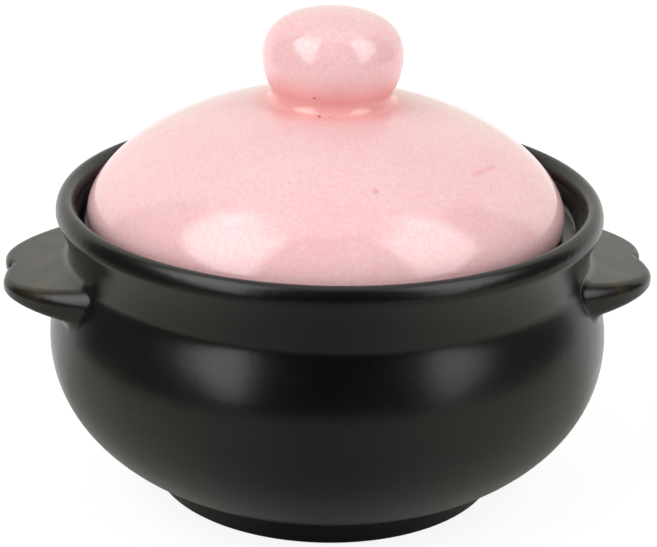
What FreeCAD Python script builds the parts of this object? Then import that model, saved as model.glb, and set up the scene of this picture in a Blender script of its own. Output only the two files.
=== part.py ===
"""Egg steamer pot: a small round stoneware pot with two lug handles, and its domed lid with a ball knob.

All sizes are in millimetres. The origin is the middle of the foot ring on the table, +Z is up, and
the lugs lie along X. Each piece is drawn as a half section, in (radius, height), and turned about Z.
The pot and the lid are one fired piece each. The lid lies loose on the ledge inside the pot's rim.
"""
import FreeCAD
import Part
import math
import os

# Foot ring, turned in one with the pot
FOOT_RADIUS = 48.7
FOOT_FLARE = 2.5
FOOT_HEIGHT = 7.3
FOOT_WIDTH = 5.2
FOOT_EDGE = 0.9
RECESS_DEPTH = 4.0

# Wall and floor of the pot
WALL = 5.8
FLOOR = 6.0
FLOOR_RADIUS = 36.0

# Belly, from the crease over the foot to the neck under the rim
BELLY_RADIUS = 77.6
BELLY_RISE = 35.7
BELLY_LIFT_DEG = 15.0
BELLY_START_PULL = 5.5
BELLY_SIDE_PULL = 23.0
SHOULDER_RISE = 23.0
SHOULDER_PULL = 12.1
NECK_PULL = 3.5
NECK_DRAW_IN = 6.0

# Rim, a long flare that leans out evenly from the neck, and a thick rounded lip on it. The pulls
# keep the flare upright over the neck and turn it upright again just under the lip
LIP_FLARE = 3.4
LIP_RISE = 13.0
LIP_PULL = 1.2
LIP_NECK_PULL = 8.5
LIP_CROWN = 4.4
LIP_WIDTH = 5.6

# Gallery inside the rim, and the ledge in it that carries the lid
GALLERY_DEPTH = 8.6
GALLERY_TAPER = 1.6
GALLERY_ROUND = 1.4
LEDGE_WIDTH = 8.4
LEDGE_THICKNESS = 5.4
LEDGE_ROUND = 1.2

# Lug handles, pressed on under the rim, with a thumb notch at the tip. The reaches are past the
# rim, and the front lobe is a little shorter than the back one. The rounding of the long edges is
# a share of the lug's thickness, at the root and at the tip
LUG_FRONT_REACH = 14.2
LUG_BACK_REACH = 14.8
LUG_NOTCH_REACH = 12.7
LUG_SINK = 1.5
LUG_BELOW_NECK = 1.1
LUG_THICKNESS = 8.4
LUG_TIP_THICKNESS = 3.4
LUG_TOP_FALL = 2.6
LUG_HALF_WIDTH = 33.6
LUG_FLANK_PULL = 19.0
LUG_FLANK_DRAW = 4.5
LUG_LOBE_SPREAD = 8.5
LUG_LOBE_OUTER_PULL = 9.0
LUG_LOBE_INNER_PULL = 4.5
LUG_NOTCH_ROUND = 2.2
LUG_NOTCH_LEAN_DEG = 38.0
LUG_NOTCH_PULL = 1.0
LUG_TOP_ROUND_SHARE = 0.57
LUG_UNDER_ROUND_SHARE = 0.31
LUG_CREASE_ROUND = 3.0

# Lid, a dome that lies on the ledge with a gap all round, a little off centre as it was put down
LID_GAP = 3.8
LID_SHIFT = 1.1
LID_EDGE_BEVEL = 1.8
LID_EDGE_HEIGHT = 3.2
LID_SEAT_WIDTH = 3.2
LID_SEAT_ROUND = 0.8
LID_RISE = 32.7
LID_SHOULDER_PULL = 13.6
LID_CROWN_PULL = 36.5
LID_WALL = 5.0

# Ball knob, stuck on by hand a little off the dome's centre, hollow and open to the underside
KNOB_SHIFT = 1.1
KNOB_RADIUS = 19.0
KNOB_STAND = 10.8
KNOB_CROWN = 12.4
KNOB_DEPTH = 16.9
KNOB_ROUND = 2.4
KNOB_WALL = 5.4
KNOB_THROAT_RADIUS = 8.2
KNOB_THROAT_ROUND = 2.5

# Share of a side that a control point is pulled along: for a quarter that reads as a circle, and
# for the fuller quarters over and under the knob
CIRCLE_PULL = 0.5523
KNOB_TOP_PULL = 0.65
KNOB_UNDER_PULL = 0.61

# Points nearer than this are taken to touch
TOUCH = 0.01

# Heights, each one stacked on the one below
BELLY_Z = FOOT_HEIGHT + BELLY_RISE
NECK_Z = BELLY_Z + SHOULDER_RISE
LIP_Z = NECK_Z + LIP_RISE
RIM_Z = LIP_Z + LIP_CROWN
LEDGE_Z = RIM_Z - GALLERY_DEPTH
FLOOR_Z = RECESS_DEPTH + FLOOR
LUG_TOP_Z = NECK_Z - LUG_BELOW_NECK
LID_EDGE_Z = LEDGE_Z + LID_EDGE_HEIGHT
LID_CROWN_Z = LID_EDGE_Z + LID_RISE
KNOB_Z = LID_CROWN_Z + KNOB_STAND

# Radii that follow from the sizes above
CREASE_RADIUS = FOOT_RADIUS + FOOT_FLARE
WALL_RADIUS = BELLY_RADIUS - WALL
NECK_RADIUS = BELLY_RADIUS - NECK_DRAW_IN
LIP_RADIUS = NECK_RADIUS + LIP_FLARE
MOUTH_RADIUS = LIP_RADIUS - LIP_WIDTH
GALLERY_RADIUS = MOUTH_RADIUS - GALLERY_TAPER
LEDGE_RADIUS = GALLERY_RADIUS - LEDGE_WIDTH
LID_RADIUS = MOUTH_RADIUS - LID_GAP
SEAT_OUTER_RADIUS = LID_RADIUS - LID_EDGE_BEVEL
SEAT_INNER_RADIUS = SEAT_OUTER_RADIUS - LID_SEAT_WIDTH
LUG_TIP_RADIUS = LIP_RADIUS + LUG_BACK_REACH
LUG_NOTCH_RADIUS = LIP_RADIUS + LUG_NOTCH_REACH
LUG_CORE_RADIUS = NECK_RADIUS - LUG_SINK
LUG_ROOT_RADIUS = math.sqrt(LUG_CORE_RADIUS ** 2 - LUG_HALF_WIDTH ** 2) - LUG_SINK

AXIS_FOOT = FreeCAD.Vector(0, 0, 0)
UPWARDS = FreeCAD.Vector(0, 0, 1)


def at(radius, height):
    """A point of a half section."""
    return FreeCAD.Vector(radius, 0, height)


def seen_from_above(reach, across):
    """A point of a plan, so far out along X and so far across along Y."""
    return FreeCAD.Vector(reach, across, 0)


class Outline:
    """An outline drawn from point to point, each new stretch starting where the last one ended."""

    def __init__(self, start):
        self.start = start
        self.tip = start
        self.edges = []

    def line(self, end):
        """A straight stretch."""
        self.edges.append(Part.makeLine(self.tip, end))
        self.tip = end

    def arc(self, middle, end):
        """A circular stretch through a middle point."""
        self.edges.append(Part.Arc(self.tip, middle, end).toShape())
        self.tip = end

    def curve(self, leaving, arriving, end):
        """A cubic curve that leaves towards one control point and arrives from the other."""
        cubic = Part.BezierCurve()
        cubic.setPoles([self.tip, leaving, arriving, end])
        self.edges.append(cubic.toShape())
        self.tip = end

    def quarter(self, corner, end, pull=CIRCLE_PULL):
        """A quarter turn inside a corner, fuller where the pull is larger."""
        leaving = self.tip + (corner - self.tip) * pull
        arriving = end + (corner - end) * pull
        self.curve(leaving, arriving, end)

    def corner(self, point, onwards, radius):
        """A straight stretch to a corner that is rounded by an arc, on the way to another point."""
        back = (self.tip - point).normalize()
        ahead = (onwards - point).normalize()
        half_angle = back.getAngle(ahead) / 2
        inwards = (back + ahead).normalize()
        reach = radius / math.tan(half_angle)
        swing = radius / math.sin(half_angle)
        self.line(point + back * reach)
        self.arc(point + inwards * (swing - radius), point + ahead * reach)

    def face(self):
        """The flat face inside the outline, once it is closed."""
        self.line(self.start)
        return Part.Face(Part.Wire(self.edges))

    def turned(self):
        """The solid that the outline makes when it is turned about Z."""
        return self.face().revolve(AXIS_FOOT, UPWARDS, 360)


def pot_shell():
    """Foot, belly, rim, gallery and ledge, turned as one wall."""
    foot_inner = FOOT_RADIUS - FOOT_WIDTH
    lift = math.radians(BELLY_LIFT_DEG)
    crease = at(CREASE_RADIUS, FOOT_HEIGHT)
    under_belly = crease + at(math.cos(lift), math.sin(lift)) * BELLY_START_PULL
    ledge_edge = at(LEDGE_RADIUS, LEDGE_Z)
    ledge_under = at(LEDGE_RADIUS, LEDGE_Z - LEDGE_THICKNESS)

    section = Outline(at(0, RECESS_DEPTH))
    section.corner(at(foot_inner, RECESS_DEPTH), at(foot_inner, 0), FOOT_EDGE)
    section.corner(at(foot_inner, 0), at(FOOT_RADIUS, 0), FOOT_EDGE)
    section.corner(at(FOOT_RADIUS, 0), crease, FOOT_EDGE)
    section.line(crease)
    section.curve(under_belly, at(BELLY_RADIUS, BELLY_Z - BELLY_SIDE_PULL), at(BELLY_RADIUS, BELLY_Z))
    section.curve(
        at(BELLY_RADIUS, BELLY_Z + SHOULDER_PULL),
        at(NECK_RADIUS, NECK_Z - NECK_PULL),
        at(NECK_RADIUS, NECK_Z),
    )
    section.curve(
        at(NECK_RADIUS, NECK_Z + LIP_NECK_PULL),
        at(LIP_RADIUS, LIP_Z - LIP_PULL),
        at(LIP_RADIUS, LIP_Z),
    )
    section.quarter(at(LIP_RADIUS, RIM_Z), at(LIP_RADIUS - LIP_WIDTH / 2, RIM_Z))
    section.quarter(at(MOUTH_RADIUS, RIM_Z), at(MOUTH_RADIUS, LIP_Z))
    section.corner(at(GALLERY_RADIUS, LEDGE_Z), ledge_edge, GALLERY_ROUND)
    section.corner(ledge_edge, ledge_under, LEDGE_ROUND)
    section.line(ledge_under)
    section.curve(
        at(LEDGE_RADIUS, LEDGE_Z - LEDGE_THICKNESS - NECK_PULL),
        at(WALL_RADIUS, BELLY_Z + SHOULDER_PULL),
        at(WALL_RADIUS, BELLY_Z),
    )
    section.quarter(at(WALL_RADIUS, FLOOR_Z), at(FLOOR_RADIUS, FLOOR_Z))
    section.line(at(0, FLOOR_Z))
    return section.turned()


def half_lug_plan(tip_radius):
    """Half a lug from above, towards +Y: the flank rounds into a lobe, and the lobe into half the notch."""
    lean = math.radians(LUG_NOTCH_LEAN_DEG)
    notch_reach = LUG_NOTCH_RADIUS + LUG_NOTCH_ROUND * (1 - math.cos(lean))
    notch_side = LUG_NOTCH_ROUND * math.sin(lean)
    pull_reach = notch_reach + LUG_NOTCH_PULL * math.sin(lean)
    pull_side = notch_side + LUG_NOTCH_PULL * math.cos(lean)
    arc_reach = LUG_NOTCH_RADIUS + LUG_NOTCH_ROUND * (1 - math.cos(lean / 2))
    arc_side = LUG_NOTCH_ROUND * math.sin(lean / 2)
    lobe_outer = LUG_LOBE_SPREAD + LUG_LOBE_OUTER_PULL
    lobe_inner = LUG_LOBE_SPREAD - LUG_LOBE_INNER_PULL

    plan = Outline(seen_from_above(LUG_ROOT_RADIUS, 0))
    plan.line(seen_from_above(LUG_NOTCH_RADIUS, 0))
    plan.arc(seen_from_above(arc_reach, arc_side), seen_from_above(notch_reach, notch_side))
    plan.curve(
        seen_from_above(pull_reach, pull_side),
        seen_from_above(tip_radius, lobe_inner),
        seen_from_above(tip_radius, LUG_LOBE_SPREAD),
    )
    plan.curve(
        seen_from_above(tip_radius, lobe_outer),
        seen_from_above(LUG_ROOT_RADIUS + LUG_FLANK_PULL, LUG_HALF_WIDTH - LUG_FLANK_DRAW),
        seen_from_above(LUG_ROOT_RADIUS, LUG_HALF_WIDTH),
    )
    return plan.face()


def lug_side():
    """One lug from the side: its top falls and its underside rises from the wall to the tip."""
    length = LUG_TIP_RADIUS - NECK_RADIUS
    fall = LUG_TOP_FALL / length
    rise = (LUG_THICKNESS - LUG_TIP_THICKNESS - LUG_TOP_FALL) / length
    near = LUG_ROOT_RADIUS - NECK_RADIUS
    far = length + LUG_TIP_THICKNESS
    under_z = LUG_TOP_Z - LUG_THICKNESS

    side = Outline(at(NECK_RADIUS + near, under_z + near * rise))
    side.line(at(NECK_RADIUS + far, under_z + far * rise))
    side.line(at(NECK_RADIUS + far, LUG_TOP_Z - far * fall))
    side.line(at(NECK_RADIUS + near, LUG_TOP_Z - near * fall))
    return side.face()


def flanks(half):
    """The two edges along the flank of half a lug, the lower one first."""
    outer = [edge for edge in half.Edges if edge.BoundBox.XLength > LUG_TIP_THICKNESS]
    longest = sorted(outer, key=lambda edge: edge.BoundBox.YLength)[-2:]
    return sorted(longest, key=lambda edge: edge.BoundBox.Center.z)


def rounded(half, flank, share):
    """Rounds one flank edge of half a lug by a share of the thickness, rounder at the root.

    The rounding carries on along the edges that follow the flank smoothly, round the lobe to the notch.
    """
    return half.makeFillet(share * LUG_THICKNESS, share * LUG_TIP_THICKNESS, [flank])


def half_lug(tip_radius):
    """The half of a lug that lies towards +Y, its edges rounder at the root than at the tip."""
    column = half_lug_plan(tip_radius).extrude(UPWARDS * RIM_Z)
    slab = lug_side().extrude(FreeCAD.Vector(0, LUG_HALF_WIDTH + LUG_THICKNESS, 0))
    half = column.common(slab)
    half = rounded(half, flanks(half)[1], LUG_TOP_ROUND_SHARE)
    return rounded(half, flanks(half)[0], LUG_UNDER_ROUND_SHARE)


def lug():
    """One lug handle, towards +X, cut off where it is rooted in the wall."""
    front = half_lug(LIP_RADIUS + LUG_FRONT_REACH).mirror(AXIS_FOOT, FreeCAD.Vector(0, 1, 0))
    back = half_lug(LUG_TIP_RADIUS)
    handle = front.fuse(back).removeSplitter()
    return handle.cut(Part.makeCylinder(LUG_CORE_RADIUS, RIM_Z))


def lies_on(edge, skin):
    """Whether both ends and the middle of an edge lie on a skin."""
    return all(Part.Vertex(spot).distToShape(skin)[0] < TOUCH for spot in edge.discretize(3))


def pot():
    """The pot with a lug on each side, and the clay smoothed into the corner round each lug."""
    shell = pot_shell()
    lug_right = lug()
    lug_left = lug_right.mirror(AXIS_FOOT, FreeCAD.Vector(1, 0, 0))
    joined = shell.fuse([lug_right, lug_left])
    shell_skin = Part.makeCompound(shell.Faces)
    lugs_skin = Part.makeCompound(lug_right.Faces + lug_left.Faces)
    creases = [edge for edge in joined.Edges if lies_on(edge, lugs_skin) and lies_on(edge, shell_skin)]
    return joined.makeFillet(LUG_CREASE_ROUND, creases)


def junction(shape):
    """The edge round the knob's root, where a ball meets a dome, inside the lid or outside it."""
    found = []
    for edge in shape.Edges:
        box = edge.BoundBox
        goes_round = box.XLength > KNOB_THROAT_RADIUS and box.YLength > KNOB_THROAT_RADIUS
        if goes_round and box.ZMin > LID_EDGE_Z + TOUCH and box.ZMax < KNOB_Z - TOUCH:
            found.append(edge)
    return found


def ring(shape, radius, height):
    """The round edge of a turned shape at a radius and height."""
    found = []
    for edge in shape.Edges:
        box = edge.BoundBox
        if abs(box.XMax - radius) < TOUCH and abs(box.ZMax - height) < TOUCH and box.ZLength < TOUCH:
            found.append(edge)
    return found


def domed_knob():
    """The lid's outside as a full body: the dome, and the ball on it with a soft corner at its root."""
    dome = Outline(at(0, LEDGE_Z))
    dome.line(at(SEAT_OUTER_RADIUS, LEDGE_Z))
    dome.quarter(at(LID_RADIUS, LEDGE_Z), at(LID_RADIUS, LID_EDGE_Z))
    dome.curve(
        at(LID_RADIUS, LID_EDGE_Z + LID_SHOULDER_PULL), at(LID_CROWN_PULL, LID_CROWN_Z), at(0, LID_CROWN_Z)
    )

    ball_foot = at(0, KNOB_Z - KNOB_DEPTH)
    ball_crown = at(0, KNOB_Z + KNOB_CROWN)
    ball = Outline(ball_foot)
    ball.quarter(ball_foot + at(KNOB_RADIUS, 0), at(KNOB_RADIUS, KNOB_Z), KNOB_UNDER_PULL)
    ball.quarter(ball_crown + at(KNOB_RADIUS, 0), ball_crown, KNOB_TOP_PULL)
    knob = ball.turned()
    knob.translate(at(KNOB_SHIFT, 0))
    body = dome.turned().fuse(knob)
    return body.makeFillet(KNOB_ROUND, junction(body))


def lid_hollow():
    """The space under the dome, and up through the throat into the knob."""
    crown = at(0, LID_CROWN_Z - LID_WALL)
    below = at(0, LEDGE_Z - LID_WALL)
    under = Outline(below)
    under.line(below + at(SEAT_INNER_RADIUS, 0))
    under.line(at(SEAT_INNER_RADIUS, LID_EDGE_Z))
    under.curve(
        at(SEAT_INNER_RADIUS, LID_EDGE_Z + LID_SHOULDER_PULL - LID_WALL / 2),
        crown + at(LID_CROWN_PULL - LID_WALL, 0),
        crown,
    )

    bulb_radius = KNOB_RADIUS - KNOB_WALL
    bulb_foot = crown - at(0, LID_WALL)
    bulb_crown = at(0, KNOB_Z + KNOB_CROWN - KNOB_WALL)
    bulb = Outline(bulb_foot)
    bulb.line(bulb_foot + at(KNOB_THROAT_RADIUS, 0))
    bulb.curve(at(KNOB_THROAT_RADIUS, LID_CROWN_Z), at(bulb_radius, LID_CROWN_Z), at(bulb_radius, KNOB_Z))
    bulb.quarter(bulb_crown + at(bulb_radius, 0), bulb_crown, KNOB_TOP_PULL)
    inside = bulb.turned()
    inside.translate(at(KNOB_SHIFT, 0))
    hollow = under.turned().fuse(inside)
    return hollow.makeFillet(KNOB_THROAT_ROUND, junction(hollow))


def lid():
    """Domed lid with its ball knob, as it lies on the ledge."""
    body = domed_knob().cut(lid_hollow())
    body = body.makeFillet(LID_SEAT_ROUND, ring(body, SEAT_INNER_RADIUS, LEDGE_Z))
    body.translate(at(-LID_SHIFT, 0))
    return body


def main():
    """Builds both pieces and writes one file for each."""
    os.makedirs("parts", exist_ok=True)
    for name, shape in (("pot", pot()), ("lid", lid())):
        shape.exportStep("parts/" + name + ".step")
        print(name, "volume", round(shape.Volume), "valid", shape.isValid(), "solids", len(shape.Solids))


main()
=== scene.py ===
"""Finish, studio and camera for the egg steamer pot.

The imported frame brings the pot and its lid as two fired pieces, in metres, with the origin under the
middle of the foot ring, +Z up and a lug at each end of X. This script glazes both pieces, puts them
in a plain soft studio and sets up the camera.
"""
import logging
import math
from dataclasses import dataclass, field
from enum import Enum

import bpy
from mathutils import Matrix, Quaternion, Vector

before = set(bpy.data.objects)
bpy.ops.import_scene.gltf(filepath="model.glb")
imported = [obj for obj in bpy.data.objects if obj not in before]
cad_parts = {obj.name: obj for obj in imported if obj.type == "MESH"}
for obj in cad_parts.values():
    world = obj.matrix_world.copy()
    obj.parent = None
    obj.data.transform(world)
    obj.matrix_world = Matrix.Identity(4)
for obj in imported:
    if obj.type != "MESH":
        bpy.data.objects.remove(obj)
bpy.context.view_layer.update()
LOG = logging.getLogger("egg_steamer_pot")

Colour = tuple[float, float, float]
Point = tuple[float, float, float]
Socket = bpy.types.NodeSocket
Value = float | Socket

WHITE: Colour = (1.0, 1.0, 1.0)
CAMERA_TURN_DEG = 5.3

# The Mix node holds a set of sockets for each kind of value, and these are its colour ones.
MIX_FACTOR, MIX_FIRST, MIX_SECOND, MIX_RESULT = 0, 6, 7, 2


class Piece(Enum):
    """The two fired pieces, by the names of their nodes in the frame."""

    POT = "pot"
    LID = "lid"


class Graph:
    """A node tree that is being drawn, with short ways to add a node and link it."""

    def __init__(self, tree: bpy.types.NodeTree) -> None:
        """Starts from an empty tree.

        Args:
            tree: The node tree of a material, a world or a node group.
        """
        self.tree = tree
        self.tree.nodes.clear()

    def feed(self, socket: Socket, value: object) -> None:
        """Links a socket into an input, or sets the input to a plain value.

        Args:
            socket: The input.
            value: An output socket, a number, a vector or a colour.
        """
        if isinstance(value, bpy.types.NodeSocket):
            self.tree.links.new(value, socket)
        elif socket.type == "RGBA":
            socket.default_value = (*value, 1.0) if len(value) == 3 else value
        else:
            socket.default_value = value

    def add(
        self, kind: str, inputs: dict[str | int, object] | None = None, **settings: object
    ) -> bpy.types.Node:
        """Adds a node.

        Args:
            kind: The node's type, without its leading ShaderNode.
            inputs: What goes into its inputs, by name or by place.
            settings: Its other properties.

        Returns:
            The new node.
        """
        node = self.tree.nodes.new("ShaderNode" + kind)
        for name, value in settings.items():
            setattr(node, name, value)
        for name, value in (inputs or {}).items():
            self.feed(node.inputs[name], value)
        return node

    def math(self, operation: str, first: Value, second: Value = 0.0, third: Value = 0.0) -> Socket:
        """Adds a Math node and returns its result."""
        node = self.add("Math", {0: first, 1: second, 2: third}, operation=operation)
        return node.outputs[0]

    def product(self, first: Value, *others: Value) -> Socket:
        """Multiplies values.

        Args:
            first: The first value.
            others: The values that it is multiplied by, one or more.

        Returns:
            The product.
        """
        for other in others:
            first = self.math("MULTIPLY", first, other)
        return first

    def squares(self, first: Value, second: Value) -> Socket:
        """Adds the squares of two values."""
        return self.math("ADD", self.math("POWER", first, 2.0), self.math("POWER", second, 2.0))

    def step(self, value: Value, low: Value, high: Value) -> Socket:
        """Rises smoothly from 0 at low to 1 at high, or falls where low is the larger."""
        inputs = {"Value": value, "From Min": low, "From Max": high}
        return self.add("MapRange", inputs, interpolation_type="SMOOTHSTEP").outputs[0]

    def between(self, factor: Value, low: Value, high: Value) -> Socket:
        """Goes in a straight line from low, at factor 0, to high, at factor 1."""
        return self.add("MapRange", {"Value": factor, "To Min": low, "To Max": high}).outputs[0]

    def blend(self, factor: Value, first: object, second: object) -> Socket:
        """Mixes two colours, from the first at factor 0 to the second at factor 1."""
        inputs = {MIX_FACTOR: factor, MIX_FIRST: first, MIX_SECOND: second}
        return self.add("Mix", inputs, data_type="RGBA").outputs[MIX_RESULT]

    def noise(self, vector: Value, scale: Value, detail: float = 2.0, roughness: float = 0.5) -> Socket:
        """Adds fractal noise and returns its value, about 0.5 on average."""
        inputs = {"Vector": vector, "Scale": scale, "Detail": detail, "Roughness": roughness}
        return self.add("TexNoise", inputs).outputs["Fac"]

    def apart(self, vector: Value) -> bpy.types.bpy_prop_collection:
        """Takes a vector apart into X, Y and Z."""
        return self.add("SeparateXYZ", {0: vector}).outputs

    def length(self, first: Value, second: Value) -> Socket:
        """Gives the length across two legs at a right angle."""
        return self.math("SQRT", self.squares(first, second))


class EffectGroup:
    """An effect that more than one glaze uses, as a shader node group with named sockets."""

    def __init__(self, name: str, inputs: dict[str, str], outputs: dict[str, str]) -> None:
        """Makes the group with its sockets.

        Args:
            name: The group's name.
            inputs: Each input's name and kind, such as Float, Vector or Color.
            outputs: Each output's name and kind.
        """
        self.tree = bpy.data.node_groups.new(name, "ShaderNodeTree")
        self.graph = Graph(self.tree)
        for side, sockets in (("INPUT", inputs), ("OUTPUT", outputs)):
            for label, kind in sockets.items():
                self.tree.interface.new_socket(label, in_out=side, socket_type="NodeSocket" + kind)
        self.entry = self.tree.nodes.new("NodeGroupInput").outputs
        self.exit = self.tree.nodes.new("NodeGroupOutput").inputs

    def place(self, graph: Graph, inputs: dict[str, object]) -> Socket:
        """Puts the group into a material with values of its own, and returns its output."""
        return graph.add("Group", inputs, node_tree=self.tree).outputs[0]


def ripple_group() -> EffectGroup:
    """The skin of a fired glaze: wide soft hollows and a fine orange-peel grain, as a height.

    Returns:
        The effect group.
    """
    group = EffectGroup(
        "glaze_ripple",
        {"Vector": "Vector", "Wide Scale": "Float", "Fine Scale": "Float", "Fine Share": "Float"},
        {"Height": "Float"},
    )
    graph, entry = group.graph, group.entry
    wide = graph.noise(entry["Vector"], entry["Wide Scale"], detail=1.0)
    fine = graph.noise(entry["Vector"], entry["Fine Scale"])
    grain = graph.product(fine, entry["Fine Share"])
    graph.feed(group.exit["Height"], graph.math("ADD", wide, grain))
    return group


def mottle_group() -> EffectGroup:
    """The uneven tone of a fired glaze: clouds, and the fine speckle of its melt.

    Returns:
        The effect group.
    """
    group = EffectGroup(
        "glaze_mottle",
        {"Vector": "Vector", "Cloud Scale": "Float", "Speck Scale": "Float", "Speck Share": "Float"},
        {"Tone": "Float"},
    )
    graph, entry = group.graph, group.entry
    cloud = graph.noise(entry["Vector"], entry["Cloud Scale"], detail=3.0)
    speck = graph.noise(entry["Vector"], entry["Speck Scale"], detail=3.0, roughness=0.7)
    graph.feed(group.exit["Tone"], graph.between(entry["Speck Share"], cloud, speck))
    return group


def bare_clay_group() -> EffectGroup:
    """Where the glaze was wiped off: below a height, within a ring, with a slightly uneven edge.

    Returns:
        The effect group.
    """
    group = EffectGroup(
        "bare_clay",
        {"Vector": "Vector", "Top": "Float", "Inner": "Float", "Outer": "Float", "Edge": "Float"},
        {"Mask": "Float"},
    )
    graph, entry = group.graph, group.entry
    spot = graph.apart(entry["Vector"])
    radius = graph.length(spot[0], spot[1])
    waver = graph.math("SUBTRACT", graph.noise(entry["Vector"], scale=260.0), 0.5)
    top = graph.math("ADD", entry["Top"], graph.product(waver, entry["Edge"]))
    under = graph.math("LESS_THAN", spot[2], top)
    past_inner = graph.math("GREATER_THAN", radius, entry["Inner"])
    within_outer = graph.math("LESS_THAN", radius, entry["Outer"])
    graph.feed(group.exit["Mask"], graph.product(under, past_inner, within_outer))
    return group


@dataclass
class Effects:
    """The effect groups that both glazes share, each built once."""

    ripple: EffectGroup = field(default_factory=ripple_group)
    mottle: EffectGroup = field(default_factory=mottle_group)
    bare_clay: EffectGroup = field(default_factory=bare_clay_group)


@dataclass(frozen=True)
class Skin:
    """How uneven a glaze's surface is: its hollows and grain per metre, and how strongly they show."""

    wide_scale: float
    fine_scale: float
    fine_share: float
    strength: float
    depth: float = 0.0006

    def height(self, graph: Graph, effects: Effects, place: Socket) -> Socket:
        """Places the ripple effect.

        Args:
            graph: The material's graph.
            effects: The shared effect groups.
            place: The place on the surface.

        Returns:
            The skin's height there.
        """
        inputs = {
            "Vector": place,
            "Wide Scale": self.wide_scale,
            "Fine Scale": self.fine_scale,
            "Fine Share": self.fine_share,
        }
        return effects.ripple.place(graph, inputs)

    def normal(self, graph: Graph, height: Socket) -> Socket:
        """Turns a height into the surface's normal."""
        inputs = {"Height": height, "Strength": self.strength, "Distance": self.depth}
        return graph.add("Bump", inputs).outputs[0]


@dataclass(frozen=True)
class Mottle:
    """How a glaze's tone varies: its clouds and specks per metre, and where its two colours part."""

    cloud_scale: float
    speck_scale: float
    speck_share: float
    first_below: float
    second_above: float

    def tone(self, graph: Graph, effects: Effects, place: Socket) -> Socket:
        """Places the mottle effect.

        Args:
            graph: The material's graph.
            effects: The shared effect groups.
            place: The place on the surface.

        Returns:
            The glaze's tone there.
        """
        inputs = {
            "Vector": place,
            "Cloud Scale": self.cloud_scale,
            "Speck Scale": self.speck_scale,
            "Speck Share": self.speck_share,
        }
        return effects.mottle.place(graph, inputs)

    def colour(self, graph: Graph, tone: Socket, first: Colour, second: Colour) -> Socket:
        """Spreads two colours over the tone."""
        return graph.blend(graph.step(tone, self.first_below, self.second_above), first, second)


@dataclass(frozen=True)
class BareClay:
    """Where a piece shows its fired clay instead of glaze, and the clay's colour."""

    colour: Colour
    top: float
    inner: float
    outer: float
    edge: float = 0.0006
    roughness: float = 0.85

    def mask(self, graph: Graph, effects: Effects, place: Socket) -> Socket:
        """Places the bare clay effect with the piece's own sizes.

        Args:
            graph: The material's graph.
            effects: The shared effect groups.
            place: The place on the surface.

        Returns:
            The mask, 1 where the clay is bare.
        """
        inputs = {
            "Vector": place,
            "Top": self.top,
            "Inner": self.inner,
            "Outer": self.outer,
            "Edge": self.edge,
        }
        return effects.bare_clay.place(graph, inputs)


@dataclass(frozen=True)
class ThinGlaze:
    """Brown clouds round the lugs' roots, where the black glaze lies thin.

    They start at a distance from the pot's middle plane and end before the lug's tip, between two
    heights, all in metres.
    """

    colour: Colour = (0.034, 0.023, 0.009)
    start: float = 0.071
    start_fade: float = 0.006
    end: float = 0.087
    end_fade: float = 0.008
    low: float = 0.059
    low_fade: float = 0.006
    high: float = 0.0755
    high_fade: float = 0.004
    cloud_scale: float = 110.0
    cloud_from: float = 0.4
    cloud_full: float = 0.62

    def mask(self, graph: Graph, place: Socket) -> Socket:
        """Masks the clouds.

        Args:
            graph: The material's graph.
            place: The place on the surface.

        Returns:
            The mask, 1 where the glaze is thinnest.
        """
        spot = graph.apart(place)
        aside = graph.math("ABSOLUTE", spot[0])
        past = graph.step(aside, self.start, self.start + self.start_fade)
        before = graph.step(aside, self.end, self.end - self.end_fade)
        above = graph.step(spot[2], self.low, self.low + self.low_fade)
        under = graph.step(spot[2], self.high, self.high - self.high_fade)
        cloud = graph.noise(place, self.cloud_scale, detail=3.0)
        cover = graph.step(cloud, self.cloud_from, self.cloud_full)
        return graph.product(past, before, above, under, cover)


@dataclass(frozen=True)
class ThrowingRings:
    """Faint flat rings left by the wheel: noise that is stretched level and packed upwards."""

    stretch: Point = (5.0, 5.0, 130.0)
    scale: float = 1.6
    share: float = 0.3

    def raise_on(self, graph: Graph, place: Socket, height: Socket) -> Socket:
        """Adds the rings to a height."""
        level = graph.add("Mapping", {"Vector": place, "Scale": self.stretch}).outputs[0]
        return graph.math("MULTIPLY_ADD", graph.noise(level, self.scale), self.share, height)


@dataclass(frozen=True)
class SatinBlackGlaze:
    """Satin black glaze on dark stoneware."""

    deep: Colour = (0.0015, 0.0017, 0.001)
    warm: Colour = (0.0034, 0.0031, 0.0021)
    mottle: Mottle = Mottle(
        cloud_scale=34.0, speck_scale=900.0, speck_share=0.35, first_below=0.42, second_above=0.68
    )
    skin: Skin = Skin(wide_scale=60.0, fine_scale=700.0, fine_share=0.12, strength=0.25)
    rings: ThrowingRings = ThrowingRings()
    thin: ThinGlaze = ThinGlaze()
    clay: BareClay = BareClay(colour=(0.085, 0.062, 0.05), top=0.0004, inner=0.02, outer=0.06)
    ior: float = 1.43
    roughness_low: float = 0.21
    roughness_high: float = 0.31

    def material(self, effects: Effects) -> bpy.types.Material:
        """Builds the material.

        Args:
            effects: The shared effect groups.

        Returns:
            The glaze, ready to be put on a piece.
        """
        material, graph, shader = new_material("satin_black_glaze")
        place = graph.add("TexCoord").outputs["Object"]
        tone = self.mottle.tone(graph, effects, place)
        bare = self.clay.mask(graph, effects, place)
        glaze = self.mottle.colour(graph, tone, self.deep, self.warm)
        glaze = graph.blend(self.thin.mask(graph, place), glaze, self.thin.colour)
        sheen = graph.between(tone, self.roughness_low, self.roughness_high)
        height = self.rings.raise_on(graph, place, self.skin.height(graph, effects, place))
        graph.feed(shader.inputs["Base Color"], graph.blend(bare, glaze, self.clay.colour))
        graph.feed(shader.inputs["Roughness"], graph.between(bare, sheen, self.clay.roughness))
        graph.feed(shader.inputs["Normal"], self.skin.normal(graph, height))
        shader.inputs["IOR"].default_value = self.ior
        return material


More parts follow.
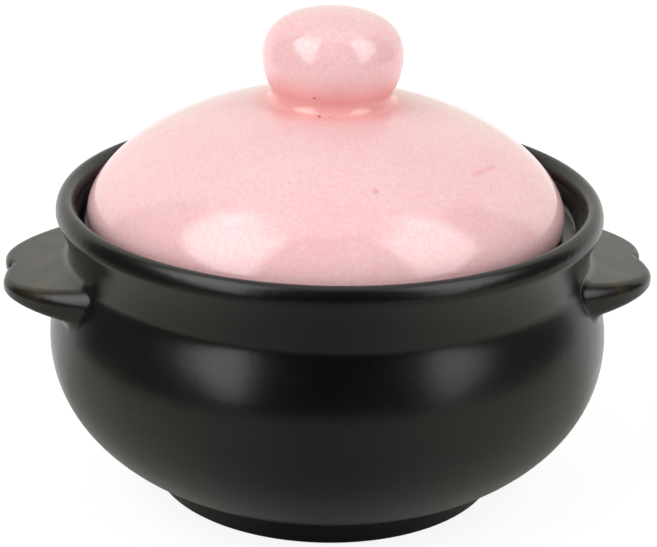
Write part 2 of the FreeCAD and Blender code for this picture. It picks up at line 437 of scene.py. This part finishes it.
@dataclass(frozen=True)
class Fleck:
    """A small round mark in a glaze: its place, how far it reaches, its colour and how much it covers."""

    at: Point
    reach: float
    colour: Colour
    share: float
    core: float = 0.4

    def mark(self, graph: Graph, place: Socket, glaze: Socket) -> Socket:
        """Lays the mark over a glaze.

        Args:
            graph: The material's graph.
            place: The place on the surface.
            glaze: The glaze's colour.

        Returns:
            The colour with the mark in it.
        """
        away = graph.add("VectorMath", {0: place, 1: self.at}, operation="DISTANCE").outputs["Value"]
        cover = graph.product(graph.step(away, self.reach, self.reach * self.core), self.share)
        return graph.blend(cover, glaze, self.colour)


DARK_PINHOLE: Colour = (0.09, 0.02, 0.02)
IRON_PINK: Colour = (0.7, 0.2, 0.19)


def streak(start: Point, end: Point, count: int, reach: float, share: float) -> list[Fleck]:
    """Lays pink flecks in a short row, close enough to run together.

    Args:
        start: The first fleck's place.
        end: The last fleck's place.
        count: How many flecks there are.
        reach: How far each one reaches.
        share: How much each one covers.

    Returns:
        The flecks, from start to end.
    """
    first, last = Vector(start), Vector(end)
    places = [first.lerp(last, step / (count - 1)) for step in range(count)]
    return [Fleck(tuple(place), reach, IRON_PINK, share) for place in places]


@dataclass(frozen=True)
class PooledGlazeAndShade:
    """Thick glaze round the knob's root, with painted shade under the knob: its middle height and its
    radius.
    """

    # Deeper coral: partly thick glaze at the root, partly painted shade and reflection under the knob.
    colour: Colour = (0.78, 0.345, 0.33)
    middle: float = 0.1115
    reach: float = 0.011
    radius: float = 0.024
    core: float = 0.7

    def mask(self, graph: Graph, place: Socket) -> Socket:
        """Masks the band.

        Args:
            graph: The material's graph.
            place: The place on the surface.

        Returns:
            The mask, 1 where the glaze is thickest and the painted shade is deepest.
        """
        spot = graph.apart(place)
        off_root = graph.math("ABSOLUTE", graph.math("SUBTRACT", spot[2], self.middle))
        band = graph.step(off_root, self.reach, 0.0)
        near = graph.step(graph.length(spot[0], spot[1]), self.radius, self.radius * self.core)
        return graph.product(band, near)


@dataclass(frozen=True)
class GlossPinkGlaze:
    """Gloss pink glaze on pale clay, with a few pinholes and pink marks on the side towards the camera."""

    pale: Colour = (0.79, 0.53, 0.542)
    dusky: Colour = (0.79, 0.445, 0.457)
    mottle: Mottle = Mottle(
        cloud_scale=45.0, speck_scale=900.0, speck_share=0.75, first_below=0.38, second_above=0.62
    )
    skin: Skin = Skin(wide_scale=45.0, fine_scale=500.0, fine_share=0.05, strength=0.12)
    pool_and_shade: PooledGlazeAndShade = PooledGlazeAndShade()
    clay: BareClay = BareClay(colour=(0.62, 0.5, 0.38), top=0.0752, inner=0.055, outer=0.0652)
    ior: float = 1.6
    roughness: float = 0.1
    flecks: tuple[Fleck, ...] = (
        Fleck((-0.0062, -0.0163, 0.114), 0.0005, DARK_PINHOLE, 0.7),
        Fleck((-0.0049, -0.0172, 0.1093), 0.0006, DARK_PINHOLE, 0.7),
        Fleck((-0.002, -0.0178, 0.1092), 0.0005, DARK_PINHOLE, 0.3),
        Fleck((0.007, -0.047, 0.0988), 0.0014, IRON_PINK, 0.4),
        Fleck((-0.0143, -0.0437, 0.0999), 0.0005, IRON_PINK, 0.6),
        *streak((0.0341, -0.0332, 0.0984), (0.0403, -0.0259, 0.0981), count=7, reach=0.0012, share=0.3),
    )

    def material(self, effects: Effects) -> bpy.types.Material:
        """Builds the material.

        Args:
            effects: The shared effect groups.

        Returns:
            The glaze, ready to be put on a piece.
        """
        material, graph, shader = new_material("gloss_pink_glaze")
        place = graph.add("TexCoord").outputs["Object"]
        tone = self.mottle.tone(graph, effects, place)
        bare = self.clay.mask(graph, effects, place)
        glaze = self.mottle.colour(graph, tone, self.pale, self.dusky)
        # Lays the deeper coral band: thick glaze at the knob's root and painted shade under the knob.
        glaze = graph.blend(self.pool_and_shade.mask(graph, place), glaze, self.pool_and_shade.colour)
        for fleck in self.flecks:
            glaze = fleck.mark(graph, place, glaze)
        height = self.skin.height(graph, effects, place)
        graph.feed(shader.inputs["Base Color"], graph.blend(bare, glaze, self.clay.colour))
        graph.feed(shader.inputs["Roughness"], graph.between(bare, self.roughness, self.clay.roughness))
        graph.feed(shader.inputs["Normal"], self.skin.normal(graph, height))
        shader.inputs["IOR"].default_value = self.ior
        return material


def new_material(name: str) -> tuple[bpy.types.Material, Graph, bpy.types.Node]:
    """Makes a material with one Principled shader wired to its output.

    Args:
        name: The material's name.

    Returns:
        The material, its graph and its shader.
    """
    material = bpy.data.materials.new(name)
    material.use_nodes = True
    graph = Graph(material.node_tree)
    shader = graph.add("BsdfPrincipled")
    graph.add("OutputMaterial", {"Surface": shader.outputs[0]})
    return material, graph, shader


@dataclass
class FiredPiece:
    """A piece of the frame that keeps its shape and gets its glaze."""

    piece: Piece
    glaze: SatinBlackGlaze | GlossPinkGlaze

    def dress(self, effects: Effects) -> bpy.types.Object:
        """Puts the glaze on the piece.

        Args:
            effects: The shared effect groups.

        Returns:
            The piece's object.
        """
        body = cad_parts[self.piece.value]
        body.data.materials.clear()
        body.data.materials.append(self.glaze.material(effects))
        return body


def camera_bearing(graph: Graph, direction: Socket) -> tuple[Socket, Socket]:
    """Turns a direction into degrees as seen by the camera.

    Args:
        graph: The world's or the floor's graph.
        direction: The direction, or a place on the floor.

    Returns:
        The azimuth, 0 on the camera's side and +90 on its right, and the direction's Z.
    """
    turn = (0.0, 0.0, math.radians(CAMERA_TURN_DEG))
    way = graph.apart(graph.add("Mapping", {"Vector": direction, "Rotation": turn}).outputs[0])
    towards_camera = graph.math("MULTIPLY", way[1], -1.0)
    azimuth = graph.math("DEGREES", graph.math("ARCTAN2", way[0], towards_camera))
    return azimuth, way[2]


def sees_plain(graph: Graph, seen: bpy.types.bpy_prop_collection) -> Socket:
    """Masks the camera's rays and the rays through glass, which see plain white."""
    return graph.math("MAXIMUM", seen["Is Camera Ray"], seen["Is Transmission Ray"])


@dataclass(frozen=True)
class Softbox:
    """A softbox as the object sees it: a soft-edged window in the studio's dark, in degrees.

    Azimuth 0 is the camera's side and +90 its right, and elevation is above the floor. The inner edge
    stands upright, the outer one leans out as it rises, and the lower one climbs past its level part.
    """

    inner: float
    outer_low: float
    outer_high: float
    low: float
    level_to: float
    climb: float
    high: float
    strength: float
    low_strength: float
    peak_azimuth: float
    peak_elevation: float
    peak_strength: float
    edge: float
    peak_reach_squared: float = 500.0

    def window(self, graph: Graph, azimuth: Socket, elevation: Socket) -> Socket:
        """Masks the softbox's opening.

        Args:
            graph: The world's graph.
            azimuth: The direction's azimuth.
            elevation: The direction's elevation.

        Returns:
            The mask, 1 inside the opening.
        """
        half_edge = self.edge / 2
        turn = graph.product(azimuth, math.copysign(1.0, self.inner))
        past_inner = graph.step(turn, abs(self.inner) - half_edge, abs(self.inner) + half_edge)
        rise = graph.step(elevation, self.low, self.high)
        outer = graph.between(rise, abs(self.outer_low), abs(self.outer_high))
        within = graph.step(graph.math("SUBTRACT", turn, outer), self.edge, -self.edge)
        climbing = graph.math("MAXIMUM", graph.math("SUBTRACT", turn, self.level_to), 0.0)
        height = graph.math("SUBTRACT", elevation, graph.product(climbing, self.climb))
        above = graph.step(height, self.low - half_edge, self.low + half_edge)
        below = graph.step(elevation, self.high + self.edge, self.high - self.edge)
        return graph.product(past_inner, within, above, below)

    def glow(self, graph: Graph, azimuth: Socket, elevation: Socket) -> Socket:
        """Gives the softbox's strength in a direction, hottest at its peak.

        Args:
            graph: The world's graph.
            azimuth: The direction's azimuth.
            elevation: The direction's elevation.

        Returns:
            The strength, 0 outside the opening.
        """
        up = graph.step(elevation, self.low, self.peak_elevation)
        body = graph.between(up, self.low_strength, self.strength)
        off_side = graph.math("SUBTRACT", azimuth, self.peak_azimuth)
        off_height = graph.math("SUBTRACT", elevation, self.peak_elevation)
        centre = graph.step(graph.squares(off_side, off_height), self.peak_reach_squared, 0.0)
        level = graph.math("MULTIPLY_ADD", centre, self.peak_strength - self.strength, body)
        return graph.product(self.window(graph, azimuth, elevation), level)


@dataclass(frozen=True)
class Room:
    """The studio round the object by direction, as strengths and degrees.

    A dim room with darkness towards the camera, a sweep overhead, a white backdrop behind and two
    softboxes in front. The camera sees plain white instead.
    """

    dark: float = 0.02
    dark_until: float = 30.0
    gap: float = 0.1
    gap_from: float = 60.0
    overhead: float = 1.15
    overhead_front: float = 72.0
    overhead_front_until: float = 50.0
    overhead_side: float = 54.0
    overhead_side_from: float = 105.0
    overhead_edge: float = 2.5
    backdrop: Colour = (0.98, 0.98, 0.9)
    backdrop_strength: float = 1.0
    backdrop_side: float = 118.0
    backdrop_side_edge: float = 1.0
    backdrop_top: float = 58.0
    backdrop_top_edge: float = 4.0
    fill: float = 0.85
    fill_top: float = 36.0
    fill_full: float = 11.0
    left: Softbox = Softbox(
        inner=-33.0, outer_low=-76.0, outer_high=-98.0, edge=8.0,
        low=4.0, level_to=40.0, climb=0.75, high=68.0, strength=3.7, low_strength=3.4,
        peak_azimuth=-60.0, peak_elevation=42.0, peak_strength=4.2,
    )
    right: Softbox = Softbox(
        inner=43.5, outer_low=76.0, outer_high=96.0, edge=7.0,
        low=3.0, level_to=52.0, climb=0.85, high=66.0, strength=3.2, low_strength=2.3,
        peak_azimuth=58.0, peak_elevation=42.0, peak_strength=3.5,
    )

    def paint(self) -> None:
        """Makes the world."""
        world = bpy.data.worlds.new("studio")
        world.use_nodes = True
        bpy.context.scene.world = world
        graph = Graph(world.node_tree)
        azimuth, rise = camera_bearing(graph, graph.add("TexCoord").outputs["Generated"])
        elevation = graph.math("DEGREES", graph.math("ARCSINE", rise))
        aside = graph.math("ABSOLUTE", azimuth)
        seen = graph.add("LightPath").outputs

        level = graph.between(graph.step(aside, self.dark_until, self.gap_from), self.dark, self.gap)
        overhead = graph.product(self.overhead_mask(graph, aside, elevation), seen["Is Glossy Ray"])
        level = graph.between(overhead, level, self.overhead)
        behind = self.backdrop_mask(graph, aside, elevation)
        level = graph.between(behind, level, self.backdrop_strength)
        for softbox in (self.left, self.right):
            level = graph.math("ADD", level, softbox.glow(graph, azimuth, elevation))
        matt = graph.math("SUBTRACT", 1.0, seen["Is Glossy Ray"])
        matt = graph.product(matt, graph.step(elevation, self.fill_top, self.fill_full))
        level = graph.math("MULTIPLY_ADD", matt, self.fill, level)

        tint = graph.blend(behind, WHITE, self.backdrop)
        room = graph.add("Background", {"Color": tint, "Strength": level})
        white = graph.add("Background", {"Color": WHITE, "Strength": 1.0})
        inputs = {0: sees_plain(graph, seen), 1: room.outputs[0], 2: white.outputs[0]}
        mixed = graph.add("MixShader", inputs)
        graph.add("OutputWorld", {"Surface": mixed.outputs[0]})

    def overhead_mask(self, graph: Graph, aside: Socket, elevation: Socket) -> Socket:
        """Masks the sweep overhead, whose edge comes lower towards the back.

        Args:
            graph: The world's graph.
            aside: The azimuth, to either side.
            elevation: The direction's elevation.

        Returns:
            The mask, 1 on the sweep.
        """
        to_side = graph.step(aside, self.overhead_front_until, self.overhead_side_from)
        sweep = graph.between(to_side, self.overhead_front, self.overhead_side)
        past = graph.math("SUBTRACT", elevation, sweep)
        return graph.step(past, -self.overhead_edge, self.overhead_edge)

    def backdrop_mask(self, graph: Graph, aside: Socket, elevation: Socket) -> Socket:
        """Masks the backdrop, from side to side behind the object and up to its top.

        Args:
            graph: The world's graph.
            aside: The azimuth, to either side.
            elevation: The direction's elevation.

        Returns:
            The mask, 1 on the backdrop.
        """
        side, top = self.backdrop_side, self.backdrop_top
        behind = graph.step(aside, side - self.backdrop_side_edge, side + self.backdrop_side_edge)
        under_top = graph.step(elevation, top + self.backdrop_top_edge, top - self.backdrop_top_edge)
        return graph.product(behind, under_top)


@dataclass(frozen=True)
class Table:
    """The pale table top, in metres from the foot's middle, which keeps the object's shadow.

    The camera sees it white. Glossy rays see it white behind the object and elsewhere in painted light,
    darker towards the camera and lighter to the sides.
    """

    left: float = -0.37
    right: float = 1.1
    front: float = -1.4
    back: float = 1.6
    seen: Colour = (0.2, 0.2, 0.2)
    seen_glow: float = 0.86
    matt_tone: Colour = (0.85, 0.84, 0.83)
    # Painted light for glossy rays: the floor darker towards the camera and lighter to the sides.
    front_painted_shade: Colour = (0.38, 0.38, 0.38)
    side_painted_light: Colour = (0.65, 0.655, 0.605)
    side_from: float = 50.0
    white_from: float = 95.0
    white_full: float = 118.0

    def lay(self) -> bpy.types.Object:
        """Makes the table top.

        Returns:
            Its object, part of the studio.
        """
        bpy.ops.object.select_all(action="DESELECT")
        bpy.ops.mesh.primitive_plane_add(size=1.0)
        table = bpy.context.active_object
        table.name = "studio_floor"
        for corner in table.data.vertices:
            corner.co.x = self.left if corner.co.x < 0 else self.right
            corner.co.y = self.front if corner.co.y < 0 else self.back
        table.data.materials.append(self.material())
        return table

    def material(self) -> bpy.types.Material:
        """Builds the table top's matt finish.

        Returns:
            The finish.
        """
        material, graph, shader = new_material("pale_floor")
        azimuth, _ = camera_bearing(graph, graph.add("TexCoord").outputs["Object"])
        aside = graph.math("ABSOLUTE", azimuth)
        seen = graph.add("LightPath").outputs
        behind = graph.product(seen["Is Glossy Ray"], graph.step(aside, self.white_from, self.white_full))
        shown = graph.math("MAXIMUM", sees_plain(graph, seen), behind)
        # Painted light: the floor that glossy rays see is darker towards the camera and lighter to the
        # sides.
        tone = graph.blend(graph.step(aside, 0.0, self.side_from), self.front_painted_shade, self.side_painted_light)
        tone = graph.blend(seen["Is Glossy Ray"], self.matt_tone, tone)
        graph.feed(shader.inputs["Base Color"], graph.blend(shown, tone, self.seen))
        graph.feed(shader.inputs["Emission Color"], WHITE)
        graph.feed(shader.inputs["Emission Strength"], graph.product(shown, self.seen_glow))
        shader.inputs["Roughness"].default_value = 1.0
        shader.inputs["Specular IOR Level"].default_value = 0.0
        return material


@dataclass(frozen=True)
class StudioCamera:
    """The camera: how far it stands from the foot's middle and which way it looks, in degrees."""

    distance: float = 0.55722
    rise_deg: float = 26.937
    turn_deg: float = CAMERA_TURN_DEG
    look_down_deg: float = 21.328
    roll_deg: float = 1.2257
    lens_mm: float = 104.43
    sensor_mm: float = 36.0

    def build(self) -> bpy.types.Object:
        """Makes the camera and hands it to the scene.

        Returns:
            The camera's object.
        """
        rise, turn = math.radians(self.rise_deg), math.radians(self.turn_deg)
        down, roll = math.radians(self.look_down_deg), math.radians(self.roll_deg)
        camera = bpy.data.objects.new("camera", bpy.data.cameras.new("camera"))
        bpy.context.scene.collection.objects.link(camera)
        bpy.context.scene.camera = camera
        camera.data.lens = self.lens_mm
        camera.data.sensor_width = self.sensor_mm
        away = Vector((-math.sin(turn) * math.cos(rise), -math.cos(turn) * math.cos(rise), math.sin(rise)))
        look = Vector((math.sin(turn) * math.cos(down), math.cos(turn) * math.cos(down), -math.sin(down)))
        camera.location = away * self.distance
        camera.rotation_mode = "QUATERNION"
        camera.rotation_quaternion = look.to_track_quat("-Z", "Y") @ Quaternion((0, 0, 1), roll)
        return camera


@dataclass(frozen=True)
class Studio:
    """Plain soft studio: the room round the object and the table that it stands on."""

    room: Room = Room()
    table: Table = Table()

    def build(self) -> None:
        """Makes the room and the table, and leaves colours as they are."""
        self.room.paint()
        self.table.lay()
        bpy.context.scene.view_settings.view_transform = "Standard"


def main() -> None:
    """Sets the camera, glazes both pieces and builds the studio."""
    logging.basicConfig(level=logging.INFO, format="%(name)s: %(message)s")
    StudioCamera().build()
    effects = Effects()
    for fired in (FiredPiece(Piece.POT, SatinBlackGlaze()), FiredPiece(Piece.LID, GlossPinkGlaze())):
        body = fired.dress(effects)
        LOG.info("%s glazed with %s", body.name, body.active_material.name)
    Studio().build()


if __name__ == "__main__":
    main()
